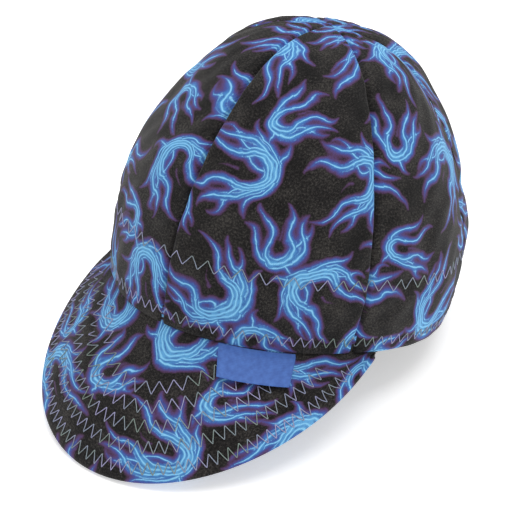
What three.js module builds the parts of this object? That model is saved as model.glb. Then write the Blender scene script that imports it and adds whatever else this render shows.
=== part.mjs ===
import * as THREE from "three";

// A welder's soft cap, standing by itself on its peak and the back of its rim.
// Six gores of printed cotton are sewn edge to edge into a tall round crown. The hem is doubled by a
// band inside, and the peak's two plies are caught between the two with their root edges turned up.
// +Z is up, the wearer looks along -Y, and the wearer's left is +X. Lengths are in millimetres.

// Sizes of the crown
const headLength = 197;
const headWidth = 168;
const crownHeight = 141;
const hemHeight = 37;
const gorePuff = 2.8;
const puffRound = 0.8;
const puffSeat = 0.6;
const puffFade = 2;
const ovalPower = 1.86;

// Sizes of the cloth and of the gaps that keep sewn pieces apart
const cloth = 1.2;
const seamGap = 0.3;
const settle = 1.2;

// Sizes of the peak
const peakWidth = 173;
const peakReach = 38.5;
const peakDrop = 65;
const peakCorner = 8;
const peakTuck = 5;
const cornerBend = 9;
const cornerFollow = 0.8;
const peakRootTurn = 74;
const rootDrop = 1.06;
const peakPly = 1.2;
const peakFlange = 9;
const peakCrown = 3.2;
const peakRound = 0.94;

// Sizes of the woven label
const labelWidth = 37;
const labelLength = 17;
const labelTurn = 32;
const labelThickness = 1;
const labelLift = 1.6;
const labelGap = 0.75;

// Sizes of the hem band's way round the peak's root, in degrees of turn
const bandClear = 3;
const bandEase = 12;

// How finely the sheets are divided
const goreColumns = 10;
const rowsPerLevel = 2;
const peakRows = 8;
const narrowestColumn = 2;
const topRadius = 0.73;
const labelColumns = 6;
const labelRows = 4;

// The gores, round from the front, each with the seam that it begins at, in degrees of turn.
const gores = [
  { name: "gore_front_left", seam: 0 },
  { name: "gore_side_left", seam: 63.5 },
  { name: "gore_back_left", seam: 121 },
  { name: "gore_back_right", seam: 180 },
  { name: "gore_side_right", seam: 239 },
  { name: "gore_front_right", seam: 296.5 },
];

// The crown's outline, from the rim to the top. Each row is one level: up is a share of the hem's
// height, or of the height above it, and long and wide are shares of the head's length and width.
// puff is how much of gorePuff the gores swell between their seams.
const hemLevels = [
  { up: 0, long: 1, wide: 1, puff: 0.3 },
  { up: 0.5, long: 1.02, wide: 1.03, puff: 0.5 },
  { up: 1, long: 1.023, wide: 1.04, puff: 0.5 },
];
const domeLevels = [
  { up: 0.2, long: 0.985, wide: 1.0, puff: 0.9 },
  { up: 0.4, long: 0.908, wide: 0.922, puff: 1 },
  { up: 0.6, long: 0.792, wide: 0.804, puff: 1 },
  { up: 0.8, long: 0.615, wide: 0.625, puff: 0.9 },
  { up: 0.9, long: 0.473, wide: 0.481, puff: 0.7 },
  { up: 0.972, long: 0.286, wide: 0.291, puff: 0.5 },
  { up: 1, long: 0, wide: 0, puff: 0 },
];

// Soft swells and dents of the standing cap. turn is the place round the crown in degrees from the
// front, up a share of the crown's height, and spread and tall are how far it reaches in the same
// measures. out is a share of the head's width.
const folds = [
  { turn: 142, up: 0.31, spread: 20, tall: 0.09, out: 0.013 },
  { turn: 126, up: 0.47, spread: 14, tall: 0.055, out: -0.016 },
  { turn: 126, up: 0.84, spread: 20, tall: 0.16, out: -0.012 },
  { turn: 116, up: 0.08, spread: 26, tall: 0.12, out: 0.01 },
  { turn: -58, up: 0.52, spread: 24, tall: 0.18, out: 0.013 },
  { turn: -74, up: 0, spread: 22, tall: 0.17, out: 0.042 },
  { turn: -32, up: 0.13, spread: 5, tall: 0.12, out: -0.007 },
  { turn: -150, up: 0.36, spread: 20, tall: 0.12, out: 0.016 },
];

// Soft swells and dents of the peak, at a share of its width and of its run from the root. out is
// a share of the peak's reach.
const peakFolds = [
  { across: -0.12, run: 0.22, spread: 0.22, long: 0.2, out: -0.05 },
  { across: 0.45, run: 0.4, spread: 0.25, long: 0.3, out: 0.03 },
];

const radians = THREE.MathUtils.degToRad;

// Small steps along a surface, as shares, in degrees of turn, along the peak's run and along the label
const tiny = 1e-3;
const turnStep = 0.5;
const runStep = 0.02;
const labelStep = 0.1;

// Crown

const levels = [
  ...hemLevels.map((level) => ({ ...level, height: level.up * hemHeight })),
  ...domeLevels.map((level) => ({ ...level, height: hemHeight + level.up * (crownHeight - hemHeight) })),
];
const beforeRim = {
  height: -levels[1].height,
  long: levels[0].long - (levels[1].long - levels[0].long),
  wide: levels[0].wide - (levels[1].wide - levels[0].wide),
  puff: levels[0].puff,
};
const lastRing = levels[levels.length - 2];
const beyondTop = { height: lastRing.height, long: -lastRing.long, wide: -lastRing.wide, puff: 0 };
const knots = [beforeRim, ...levels, beyondTop];

function catmullRom(a, b, c, d, k) {
  return 0.5 * (2 * b + (c - a) * k + (2 * a - 5 * b + 4 * c - d) * k * k + (3 * b - a - 3 * c + d) * k ** 3);
}

// The level at a share of the way from the rim to the top.
function levelAt(share) {
  const place = THREE.MathUtils.clamp(share, 0, 1) * (levels.length - 1);
  const first = Math.min(Math.floor(place), levels.length - 2);
  const [a, b, c, d] = knots.slice(first, first + 4);
  const blend = (name) => catmullRom(a[name], b[name], c[name], d[name], place - first);
  return { height: blend("height"), long: blend("long"), wide: blend("wide"), puff: blend("puff") };
}

// The share at which the crown reaches a height above the rim.
const halvings = 40;
function shareAtHeight(height) {
  let low = 0;
  let high = 1;
  for (let halving = 0; halving < halvings; halving++) {
    const middle = (low + high) / 2;
    if (levelAt(middle).height < height) low = middle;
    else high = middle;
  }
  return (low + high) / 2;
}

// The place round the oval at a turn in degrees, spaced so that equal turns are equal lengths of rim.
function ovalAt(turn) {
  const even = radians(turn);
  const angle = even + ((headLength - headWidth) / (headLength + headWidth) / 2) * Math.sin(2 * even);
  const across = Math.sin(angle);
  const along = Math.cos(angle);
  const size = (Math.abs(across) ** ovalPower + Math.abs(along) ** ovalPower) ** (-1 / ovalPower);
  return { x: across * size, y: -along * size };
}

function smoothCrown(turn, share) {
  const level = levelAt(share);
  const oval = ovalAt(turn);
  return new THREE.Vector3(
    (oval.x * level.wide * headWidth) / 2,
    (oval.y * level.long * headLength) / 2,
    level.height,
  );
}

function surfaceNormal(surface, a, b, stepA, stepB) {
  const alongA = surface(a + stepA, b).sub(surface(a - stepA, b));
  const alongB = surface(a, b + stepB).sub(surface(a, b - stepB));
  return alongA.cross(alongB).normalize();
}

const bell = (offset, reach) => Math.exp(-((offset / reach) ** 2));
const turnBetween = (a, b) => ((((a - b + 180) % 360) + 360) % 360) - 180;

// How wide a gore is, in degrees of turn.
const goreTurn = (number) => (gores[number + 1]?.seam ?? 360) - gores[number].seam;

// The turns at which the rim is divided. What lies against the crown is divided at the same ones.
const rimTurns = gores.flatMap((gore, number) =>
  Array.from({ length: goreColumns }, (_, i) => gore.seam + (goreTurn(number) * i) / goreColumns),
);

// How far the cloth stands out from the smooth crown: the gores swell between seams, with the folds.
function swell(turn, share) {
  const level = levelAt(share);
  const round = ((turn % 360) + 360) % 360;
  const number = gores.findLastIndex((gore) => gore.seam <= round);
  const acrossGore = (round - gores[number].seam) / goreTurn(number);
  const cushion = Math.sin(Math.PI * acrossGore) ** puffRound - puffSeat;
  const taper = Math.min(1, level.wide * puffFade);
  const up = level.height / crownHeight;
  return folds.reduce(
    (sum, fold) =>
      sum +
      fold.out * headWidth * bell(turnBetween(turn, fold.turn), fold.spread) * bell(up - fold.up, fold.tall),
    gorePuff * level.puff * cushion * taper,
  );
}

// A point of the crown, at a depth into the cloth from its outer face.
function crownPoint(turn, share, depth) {
  const inward = THREE.MathUtils.clamp(share, tiny, 1 - tiny);
  const normal = surfaceNormal(smoothCrown, turn, inward, turnStep, tiny);
  return smoothCrown(turn, share).addScaledVector(normal, swell(turn, share) - depth);
}

// Peak

const stack = 2 * peakPly + seamGap;
const flangeDepth = cloth + seamGap + stack / 2;
const flangeShare = shareAtHeight(peakFlange);
const cornerY = (ovalAt(peakRootTurn).y * headLength) / 2 - peakCorner;
const tipY = -headLength / 2 - peakReach;

// The peak's outer edge, at a share of its half width from -1 to 1. Its corners turn in under the rim,
// and follow the rim's folds.
function peakEdge(across) {
  const angle = (across * Math.PI) / 2;
  const forward = Math.max(Math.cos(angle), 0);
  const turn = across * peakRootTurn;
  const corner = Math.abs(across) ** cornerBend;
  const edge = crownPoint(turn, 0, 0).sub(smoothCrown(turn, 0)).multiplyScalar(cornerFollow * corner);
  edge.x += (Math.sin(angle) * peakWidth) / 2 - peakTuck * Math.sign(across) * corner;
  edge.y += cornerY + (tipY - cornerY) * forward ** peakRound;
  edge.z += -peakDrop * forward - stack / 2 - seamGap;
  return edge;
}

// Where the peak leaves the rim: straight below its flange, and lower where it leaves more level.
function peakRoot(across) {
  const rim = crownPoint(across * peakRootTurn, 0, flangeDepth);
  const run = peakEdge(across).sub(rim).normalize();
  rim.z -= (stack / 2 + seamGap) * (rootDrop - run.z ** 2);
  return rim;
}

// A point midway between the plies. run is -1 at the flange's top, 0 at the rim and 1 at the edge.
function peakMiddle(across, run) {
  if (run < 0) {
    const share = flangeShare * -run;
    const low = peakRoot(across);
    const rim = crownPoint(across * peakRootTurn, 0, flangeDepth);
    return crownPoint(across * peakRootTurn, share, flangeDepth).add(low.sub(rim).multiplyScalar(1 + run));
  }
  return peakRoot(across).lerp(peakEdge(across), run);
}

function peakSwell(across, run) {
  if (run <= 0) return 0;
  const arch = peakCrown * 4 * run * (1 - run) * Math.cos((across * Math.PI) / 2);
  return peakFolds.reduce(
    (sum, fold) =>
      sum +
      fold.out * peakReach * Math.sin(Math.PI * run) *
        bell(across - fold.across, fold.spread) * bell(run - fold.run, fold.long),
    arch,
  );
}

// A point of the peak, at a height above the middle of its plies.
function peakPoint(across, run, rise) {
  const side = THREE.MathUtils.clamp(across, -1 + tiny, 1 - tiny);
  const normal = surfaceNormal(peakMiddle, side, run, tiny, runStep).negate();
  return peakMiddle(across, run).addScaledVector(normal, rise + peakSwell(across, run));
}

// Standing on the floor

const tipCorner = peakPoint(0, 1, -stack / 2);
const backRim = crownPoint(180, 0, 0);
const span = backRim.y - tipCorner.y;
const fall = backRim.z - tipCorner.z;
const lean = Math.atan2(fall, span) + Math.asin(settle / Math.hypot(span, fall));
const upWhenLeaning = new THREE.Vector3(0, -Math.sin(lean), Math.cos(lean));
const floorLevel = tipCorner.dot(upWhenLeaning);

// Cloth that would sink into the floor is pressed flat on it.
function pressed(point) {
  return point.addScaledVector(upWhenLeaning, Math.max(0, floorLevel - point.dot(upWhenLeaning)));
}

// Sheets

// A closed solid between two faces. face(layer, i, j) gives the outer face's points for layer 0 and
// the inner face's for layer 1. A looped sheet joins its last column to its first.
function sheet(columns, rows, face, looped = false) {
  const count = looped ? columns : columns + 1;
  const positions = [];
  for (const layer of [0, 1]) {
    for (let i = 0; i < count; i++) {
      for (let j = 0; j <= rows; j++) positions.push(...face(layer, i, j).toArray());
    }
  }
  const index = [];
  const at = (layer, i, j) => (layer * count + (i % count)) * (rows + 1) + j;
  const quad = (a, b, c, d) => index.push(a, b, c, a, c, d);
  for (let i = 0; i < columns; i++) {
    for (let j = 0; j < rows; j++) {
      quad(at(0, i, j), at(0, i + 1, j), at(0, i + 1, j + 1), at(0, i, j + 1));
      quad(at(1, i, j), at(1, i, j + 1), at(1, i + 1, j + 1), at(1, i + 1, j));
    }
    quad(at(1, i, 0), at(1, i + 1, 0), at(0, i + 1, 0), at(0, i, 0));
    quad(at(0, i, rows), at(0, i + 1, rows), at(1, i + 1, rows), at(1, i, rows));
  }
  for (let j = 0; j < rows && !looped; j++) {
    quad(at(0, 0, j), at(0, 0, j + 1), at(1, 0, j + 1), at(1, 0, j));
    quad(at(0, columns, j), at(1, columns, j), at(1, columns, j + 1), at(0, columns, j + 1));
  }
  const geometry = new THREE.BufferGeometry();
  geometry.setAttribute("position", new THREE.Float32BufferAttribute(positions, 3));
  geometry.setIndex(index);
  geometry.computeVertexNormals();
  return geometry;
}

const cap = new THREE.Group();
cap.rotation.x = -lean;

function sew(name, geometry, material) {
  const mesh = new THREE.Mesh(geometry, material);
  mesh.name = name;
  cap.add(mesh);
}

const printedCotton = new THREE.MeshStandardMaterial({ color: 0x2b2b2d, roughness: 0.9 });
const plainCotton = new THREE.MeshStandardMaterial({ color: 0x26262a, roughness: 0.92 });
const blueWeave = new THREE.MeshStandardMaterial({ color: 0x3a63ad, roughness: 0.7 });

// Gores: each runs from the rim to the top, and keeps half a gap to the seam on either side.

const topShare = 1 - topRadius / ((lastRing.wide * headWidth) / 2) / (levels.length - 1);
const ovalNarrow = 0.97;
const goreRows = rowsPerLevel * (levels.length - 1);
const bandRows = rowsPerLevel * (hemLevels.length - 1);

gores.forEach((gore, number) => {
  const panel = sheet(goreColumns, goreRows, (layer, i, j) => {
    const share = Math.min(j / goreRows, topShare);
    const level = levelAt(share);
    const radius = (Math.min(level.wide * headWidth, level.long * headLength) / 2) * ovalNarrow;
    const trim = THREE.MathUtils.radToDeg(Math.asin(seamGap / 2 / radius));
    const turn = gore.seam + trim + ((goreTurn(number) - 2 * trim) * i) / goreColumns;
    return pressed(crownPoint(turn, share, layer * cloth));
  });
  sew(gore.name, panel, printedCotton);
});

// Hem band: a loop inside the rim, further in along the peak's root, where it covers the flange.

function hemDepth(turn) {
  const beyondRoot = Math.abs(turnBetween(turn, 0)) - peakRootTurn - bandClear;
  const room = 1 - THREE.MathUtils.smoothstep(beyondRoot, 0, bandEase);
  return cloth + seamGap + (stack + seamGap) * room;
}
sew(
  "hem_band",
  sheet(
    rimTurns.length,
    bandRows,
    (layer, i, j) =>
      pressed(crownPoint(rimTurns[i], j / goreRows, hemDepth(rimTurns[i]) + layer * cloth)),
    true,
  ),
  plainCotton,
);

// Peak: an upper and an under ply of the same outline, with the gap between them.

const peakTurns = rimTurns
  .map((turn) => turnBetween(turn, 0))
  .filter((turn) => Math.abs(turn) < peakRootTurn - narrowestColumn)
  .concat(-peakRootTurn, peakRootTurn)
  .sort((a, b) => a - b);

function ply(low, high) {
  return sheet(peakTurns.length - 1, peakRows + 1, (layer, i, j) =>
    peakPoint(peakTurns[i] / peakRootTurn, j === 0 ? -1 : (j - 1) / peakRows, layer === 0 ? low : high),
  );
}
sew("peak_upper", ply(seamGap / 2, seamGap / 2 + peakPly), printedCotton);
sew("peak_under", ply(-seamGap / 2 - peakPly, -seamGap / 2), printedCotton);

// Label: sewn in at the rim, lying down the peak with its free edge lifted a little.

const labelMiddle = labelTurn / peakRootTurn;
const labelRoot = peakPoint(labelMiddle, labelStep, 0);
const alongRim = peakPoint(labelMiddle + labelStep, labelStep, 0).sub(labelRoot);
const downPeak = peakPoint(labelMiddle, 2 * labelStep, 0).sub(labelRoot);
const skew = alongRim.dot(downPeak) / alongRim.lengthSq();
const squareness = Math.sin(alongRim.angleTo(downPeak));
const labelStart = cloth + stack / 2 + labelGap;

// The place on the peak that lies a length along the rim from the label's middle, and a length below.
function underRim(along, below) {
  const reach = peakEdge(labelMiddle).distanceTo(peakRoot(labelMiddle)) * squareness;
  const middle = peakPoint(labelMiddle, below / reach, 0);
  const step = peakPoint(labelMiddle + labelStep, below / reach, 0).distanceTo(middle);
  const across = labelMiddle + (labelStep * along) / step;
  const run = below / (peakEdge(across).distanceTo(peakRoot(across)) * squareness);
  return { across: across - skew * run, run };
}
sew(
  "label",
  sheet(labelColumns, labelRows, (layer, i, j) => {
    const down = j / labelRows;
    const place = underRim(labelWidth * (i / labelColumns - 0.5), labelStart + labelLength * down);
    const rise = stack / 2 + seamGap + labelLift * down ** 2;
    return peakPoint(place.across, place.run, rise + layer * labelThickness);
  }),
  blueWeave,
);

// The origin is on the floor, under the middle of the cap.
const centre = new THREE.Box3().setFromObject(cap, true).getCenter(new THREE.Vector3());
cap.position.set(-centre.x, -centre.y, -floorLevel);

export default cap;
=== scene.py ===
"""A welder's soft cap of flame-printed cotton, standing on its peak and the back of its rim.

Lengths are in millimetres until a mesh is made, and every mesh is made in metres. The wearer looks
along -Y, and the wearer's left is +X.
"""
import math

import bpy
import numpy as np
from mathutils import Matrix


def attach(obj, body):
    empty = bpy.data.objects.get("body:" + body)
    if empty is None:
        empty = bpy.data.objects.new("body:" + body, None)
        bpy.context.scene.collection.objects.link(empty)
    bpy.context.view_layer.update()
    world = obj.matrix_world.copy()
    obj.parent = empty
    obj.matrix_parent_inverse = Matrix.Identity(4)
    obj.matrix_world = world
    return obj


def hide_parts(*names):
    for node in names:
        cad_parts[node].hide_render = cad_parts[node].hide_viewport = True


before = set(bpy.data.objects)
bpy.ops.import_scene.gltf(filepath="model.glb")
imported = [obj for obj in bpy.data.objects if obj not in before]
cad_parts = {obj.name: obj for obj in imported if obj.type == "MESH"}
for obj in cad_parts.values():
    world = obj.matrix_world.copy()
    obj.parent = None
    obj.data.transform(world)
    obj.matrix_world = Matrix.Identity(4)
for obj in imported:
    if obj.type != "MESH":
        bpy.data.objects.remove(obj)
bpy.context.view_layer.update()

# The crown. Six gores of heavy cotton twill are cut like boat planks and sewn edge to edge, with the
# seam allowances pressed inside. The cloth swells between its seams, sinks into each of them, and is
# drawn in along the zigzag rows that sew down the hem.

HEAD_LENGTH, HEAD_WIDTH, CROWN_HEIGHT, HEM_HEIGHT = 197, 168, 141, 37
GORE_PUFF, PUFF_ROUND, PUFF_SEAT, PUFF_FADE, OVAL_POWER = 2.8, 0.8, 0.6, 2, 1.86
CLOTH, SEAM_GAP = 1.2, 0.3
GORES = {
    "gore_front_left": 0,
    "gore_side_left": 63.5,
    "gore_back_left": 121,
    "gore_back_right": 180,
    "gore_side_right": 239,
    "gore_front_right": 296.5,
}
seams = np.array([*GORES.values(), 360.0])

# Levels from the rim up: height, length and width as shares, and how much of the puff shows.
HEM_LEVELS = [(0, 1, 1, 0.3), (0.5, 1.02, 1.03, 0.5), (1, 1.023, 1.04, 0.5)]
DOME_LEVELS = [
    (0.2, 0.985, 1.0, 0.9), (0.4, 0.908, 0.922, 1), (0.6, 0.792, 0.804, 1), (0.8, 0.615, 0.625, 0.9),
    (0.9, 0.473, 0.481, 0.7), (0.972, 0.286, 0.291, 0.5), (1, 0, 0, 0),
]
levels = np.array(
    [(up * HEM_HEIGHT, *rest) for up, *rest in HEM_LEVELS]
    + [(HEM_HEIGHT + up * (CROWN_HEIGHT - HEM_HEIGHT), *rest) for up, *rest in DOME_LEVELS]
)
steps = len(levels) - 1
before_rim = (-levels[1, 0], *(2 * levels[0, 1:3] - levels[1, 1:3]), levels[0, 3])
beyond_top = (levels[-2, 0], -levels[-2, 1], -levels[-2, 2], 0)
knots = np.array([before_rim, *levels, beyond_top])

# Soft swells and dents of the standing cap: turn, share of the height, reach of each, and how far out.
FOLDS = [
    (142, 0.31, 20, 0.09, 0.013), (126, 0.47, 14, 0.055, -0.016), (126, 0.84, 20, 0.16, -0.012),
    (116, 0.08, 26, 0.12, 0.01), (-58, 0.52, 24, 0.18, 0.013), (-74, 0, 22, 0.17, 0.042),
    (-32, 0.13, 5, 0.12, -0.007), (-150, 0.36, 20, 0.12, 0.016),
]
# Finer creases that a worn-in cloth keeps, in the same columns.
CREASES = [
    (-62, 0.34, 3.2, 0.09, -0.008), (-55, 0.33, 3.5, 0.1, 0.007), (-20, 0.56, 9, 0.03, 0.007),
    (14, 0.62, 3, 0.1, -0.007), (22, 0.5, 4, 0.14, 0.007), (38, 0.7, 9, 0.03, -0.007),
    (84, 0.36, 4, 0.08, -0.008), (96, 0.52, 12, 0.03, 0.007), (70, 0.2, 7, 0.05, 0.006),
    (160, 0.55, 5, 0.12, -0.008), (-170, 0.7, 12, 0.04, 0.007), (-120, 0.5, 5, 0.1, -0.008),
    (-100, 0.22, 9, 0.04, 0.007), (110, 0.3, 5, 0.07, -0.008), (-40, 0.72, 4, 0.08, -0.006),
]


def level_at(share):
    """Height, length, width and puff at a share of the way from the rim to the top."""
    place = np.clip(share, 0, 1) * steps
    first = np.minimum(place.astype(int), steps - 1)
    k = (place - first)[..., None]
    a, b, c, d = (knots[first + n] for n in range(4))
    return 0.5 * (2 * b + (c - a) * k + (2 * a - 5 * b + 4 * c - d) * k**2 + (3 * b - a - 3 * c + d) * k**3)


def share_at_height(height):
    """The share at which the crown reaches a height above the rim."""
    shares = np.linspace(0, 1, 4001)
    return np.interp(height, level_at(shares)[:, 0], shares)


def oval_at(turn):
    """The place round the oval at a turn, spaced so that equal turns are equal lengths of rim."""
    even = np.radians(turn)
    angle = even + (HEAD_LENGTH - HEAD_WIDTH) / (HEAD_LENGTH + HEAD_WIDTH) / 2 * np.sin(2 * even)
    across, along = np.sin(angle), np.cos(angle)
    size = (np.abs(across) ** OVAL_POWER + np.abs(along) ** OVAL_POWER) ** (-1 / OVAL_POWER)
    return across * size, -along * size


def smooth_crown(turn, share):
    """A point of the crown's plain oval form, before the cloth swells and sinks."""
    height, long, wide, _ = np.moveaxis(level_at(share), -1, 0)
    x, y = oval_at(turn)
    return np.stack([x * wide * HEAD_WIDTH / 2, y * long * HEAD_LENGTH / 2, height], -1)


def face_normal(surface, a, b, step_a, step_b):
    """The unit normal of a surface that takes two values, from short steps along each."""
    along_a = surface(a + step_a, b) - surface(a - step_a, b)
    along_b = surface(a, b + step_b) - surface(a, b - step_b)
    normal = np.cross(along_a, along_b)
    return normal / np.linalg.norm(normal, axis=-1, keepdims=True)


def outer_normal(turn, share):
    return face_normal(smooth_crown, turn, np.clip(share, 1e-3, 1 - 1e-3), 0.5, 1e-3)


def mean_radius(level):
    return (level[..., 1] * HEAD_LENGTH + level[..., 2] * HEAD_WIDTH) / 4


def bell(offset, reach):
    """1 at no offset, falling smoothly to nothing within about twice the reach."""
    return np.exp(-((offset / reach) ** 2))


def turn_between(a, b):
    """The turn from b to a, the short way round, in degrees."""
    return (a - b + 180) % 360 - 180


def swell(turn, share, folds=FOLDS):
    """How far the cloth stands out from the smooth crown, between its seams and at its folds."""
    level = level_at(share)
    number = np.searchsorted(seams, turn % 360, side="right") - 1
    across = (turn % 360 - seams[number]) / (seams[number + 1] - seams[number])
    cushion = np.abs(np.sin(np.pi * across)) ** PUFF_ROUND - PUFF_SEAT
    out = GORE_PUFF * level[..., 3] * cushion * np.minimum(1, level[..., 2] * PUFF_FADE)
    for fold_turn, up, spread, tall, far in folds:
        place = bell(turn_between(turn, fold_turn), spread)
        out = out + far * HEAD_WIDTH * place * bell(level[..., 0] / CROWN_HEIGHT - up, tall)
    return out


def crown_point(turn, share, depth, folds=FOLDS):
    """A point of the crown, at a depth into the cloth from its outer face."""
    turn, share = np.broadcast_arrays(np.asarray(turn, float), np.asarray(share, float))
    out = swell(turn, share, folds) - depth
    return smooth_crown(turn, share) + outer_normal(turn, share) * out[..., None]


# The two zigzag rows that sew the hem: height of the middle, width of the row, and its pitch.
UPPER_ROW = (36.8, 5.7, 8.3)
LOWER_ROW = (6.2, 5.4, 5.8)
RIM_RADIUS = 94  # for the spacing of the puckers along the rows
# How deep the cloth rolls into a seam, how wide the roll is, and the slit that stays open.
SEAM_ROLL, SEAM_REACH, SEWN_GAP = 1.9, 1.0, 0.04
# Depths of the puckers at a seam, the crumples between, the rows, their puckers and the rim's roll.
SEAM_PUCKER, CRUMPLE, ROW_SINK, ROW_PUCKER, RIM_ROLL = 0.14, 0.38, 0.8, 0.3, 0.7


def sewn_depth(turn, share):
    """How deep the sewn cloth lies: it rolls into its seams and its rim, and sinks under stitches."""
    level = level_at(share)
    radius = mean_radius(level)
    nearest = np.abs(turn_between(turn[..., None], seams)).min(-1)
    off_seam = np.radians(nearest) * radius
    fade = np.clip(radius / 20, 0.25, 1)
    depth = SEAM_ROLL * fade * bell(off_seam, SEAM_REACH)
    height, around = level[..., 0], np.radians(turn)
    pucker = np.sin(height * 0.62 + 1.7 * nearest) + np.sin(height * 0.41 + 2.0)
    depth = depth + SEAM_PUCKER * fade * pucker * bell(off_seam - 4, 4)
    crumple = np.sin(19 * around + 1.3 * np.sin(height * 0.11)) * np.sin(height * 0.16 + np.sin(6 * around))
    crumple = crumple + 0.7 * np.sin(33 * around - height * 0.29 + 2 * np.sin(height * 0.05 + 3 * around))
    depth = depth + CRUMPLE * fade**2 * crumple * np.clip(height / 25, 0.3, 1) * (1 - share) ** 0.4
    for middle, width, pitch in (UPPER_ROW, LOWER_ROW):
        waves = np.sin(around * RIM_RADIUS * 2 * np.pi / (pitch * 2.6) + middle)
        depth = depth + ROW_SINK * bell(height - middle, width * 0.6)
        depth = depth - ROW_PUCKER * waves * bell(height - middle - width * 0.7, width * 0.9)
    return depth + RIM_ROLL * bell(height, 1.0)


def outer_face(turn, share):
    """A point of the crown's finished outer face."""
    turn, share = np.broadcast_arrays(np.asarray(turn, float), np.asarray(share, float))
    return crown_point(turn, share, sewn_depth(turn, share), FOLDS + CREASES)


# Where the leaning cap stands: its lean, and the place of the rim's middle over the floor.
LEAN = math.radians(16.365)
RIM_MIDDLE = np.array([0.924, 21.290, 26.361])
FLOOR_TOUCH = 0.02


def stand(points):
    """Cap lengths to the standing cap's place, in metres. Cloth that would sink is pressed flat."""
    x, y, z = np.moveaxis(np.asarray(points, float), -1, 0)
    turned = [x, y * math.cos(LEAN) + z * math.sin(LEAN), z * math.cos(LEAN) - y * math.sin(LEAN)]
    placed = np.stack(turned, -1) + RIM_MIDDLE
    placed[..., 2] = np.maximum(placed[..., 2], FLOOR_TOUCH)
    return placed / 1000


def linear(hex_colour):
    """An sRGB hex colour as the linear values that a socket takes."""
    parts = [int(hex_colour[n:n + 2], 16) / 255 for n in (1, 3, 5)]
    return (*(c / 12.92 if c <= 0.04045 else ((c + 0.055) / 1.055) ** 2.4 for c in parts), 1.0)


def add(tree, kind, feeds={}, **settings):
    """Adds a node, sets it, feeds its inputs with values or outputs, and gives its first output."""
    node = tree.nodes.new("ShaderNode" + kind)
    for name, value in settings.items():
        setattr(node, name, value)
    for socket, value in feeds.items():
        if isinstance(value, bpy.types.NodeSocket):
            tree.links.new(value, node.inputs[socket])
        else:
            node.inputs[socket].default_value = value
    return node.outputs[0] if node.outputs else None


def new_finish(name):
    """A new material with an empty node tree."""
    finish = bpy.data.materials.new(name)
    finish.use_nodes = True
    finish.node_tree.nodes.clear()
    return finish, finish.node_tree


def ramp(tree, place, *stops):
    """A colour ramp through (place, hex colour) stops."""
    colour = add(tree, "ValToRGB", {0: place})
    elements = colour.node.color_ramp.elements
    while len(elements) < len(stops):
        elements.new(0.5)
    for element, (at, tint) in zip(elements, stops):
        element.position, element.color = at, linear(tint)
    return colour


# Flame clumps of the print. Each stroke is an arc: where its middle lies, its radius, the angle that it
# starts at, how far it sweeps, its half width at the start and at the end, and how far it spirals out.
# A clump is a curled head and the licks that leave it. Strokes thinner than nothing show as violet only.
VIOLET_ONLY = {"width": -0.4, "end": -1.3}


def lick(x, y, heading, *bends, width, end=-0.4):
    """Strokes of a lick that starts at a place with a heading, and whose bends are lengths and turns."""
    whole, run, strokes = sum(length for length, _ in bends), 0, []
    for length, turn in bends:
        hand, radius = math.copysign(1, turn), length / math.radians(abs(turn))
        aim = math.radians(heading)
        middle = (x - hand * radius * math.sin(aim), y + hand * radius * math.cos(aim))
        widths = [width + (end - width) * (at / whole) ** 2 for at in (run, run + length)]
        strokes.append((*middle, radius, heading - 90 * hand, turn, *widths, 0))
        run, heading = run + length, heading + turn
        aim = math.radians(heading)
        x, y = middle[0] + hand * radius * math.sin(aim), middle[1] - hand * radius * math.cos(aim)
    return strokes


LARGE_CLUMP = [
    (0, 0, 10.0, 185, 128, 4.4, 1.9, -1.5),
    (0, 0, 10.0, 185, -122, 4.4, 1.9, -1.5),
    *lick(4.8, -7.4, 30, (13, -70), (15, 72), width=2.3),
    *lick(-5.5, -9.4, -50, (14, 62), (18, -66), width=2.8),
    *lick(-11.5, -5.0, -80, (12, 52), (13, -76), width=2.3),
    *lick(4.2, 7.9, -22, (11, 68), (14, -72), width=2.3),
    *lick(-6.0, 9.8, 55, (12, -62), (17, 62), width=2.6),
    *lick(-11.5, 4.5, 80, (11, -42), (10, 74), width=2.0),
    *lick(-5, 1.5, 8, (8, 60), (8, -95), width=1.7),
    *lick(-10.4, 2.6, 112, (6, 52), (7, -92), width=1.8),
    *lick(1.5, -10.0, -24, (9, -44), (10, 82), width=1.6),
    *lick(0.5, 10.3, 20, (8, 48), (10, -86), width=1.6),
    *lick(5, 0.5, 15, (10, -50), **VIOLET_ONLY),
    *lick(7, -12, -5, (11, 45), **VIOLET_ONLY),
    *lick(4, 14, 5, (10, 35), **VIOLET_ONLY),
]
SMALL_CLUMP = [
    (0, 0, 5.8, 180, 130, 3.0, 1.4, -0.8),
    (0, 0, 5.8, 180, -118, 3.0, 1.4, -0.8),
    *lick(2.8, -4.2, 35, (8, -72), (9, 72), width=1.8),
    *lick(-4.4, -5.6, -52, (10, 66), (12, -62), width=2.2),
    *lick(2.6, 4.8, -25, (8, 72), (9, -70), width=1.7),
    *lick(-3.4, 6.0, 65, (9, -62), (9, 58), width=2.0),
    *lick(-6.0, -1.4, -112, (4, -52), (5, 90), width=1.4),
    *lick(0.8, -5.8, -22, (6, -44), (7, 80), width=1.3),
    *lick(3, 0.2, 10, (7, -40), **VIOLET_ONLY),
]
PRINT_CELL = 58.0  # each cell of the cloth has one large and one small clump
LICK_BLEND = 2.6  # how softly two strokes part


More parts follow.
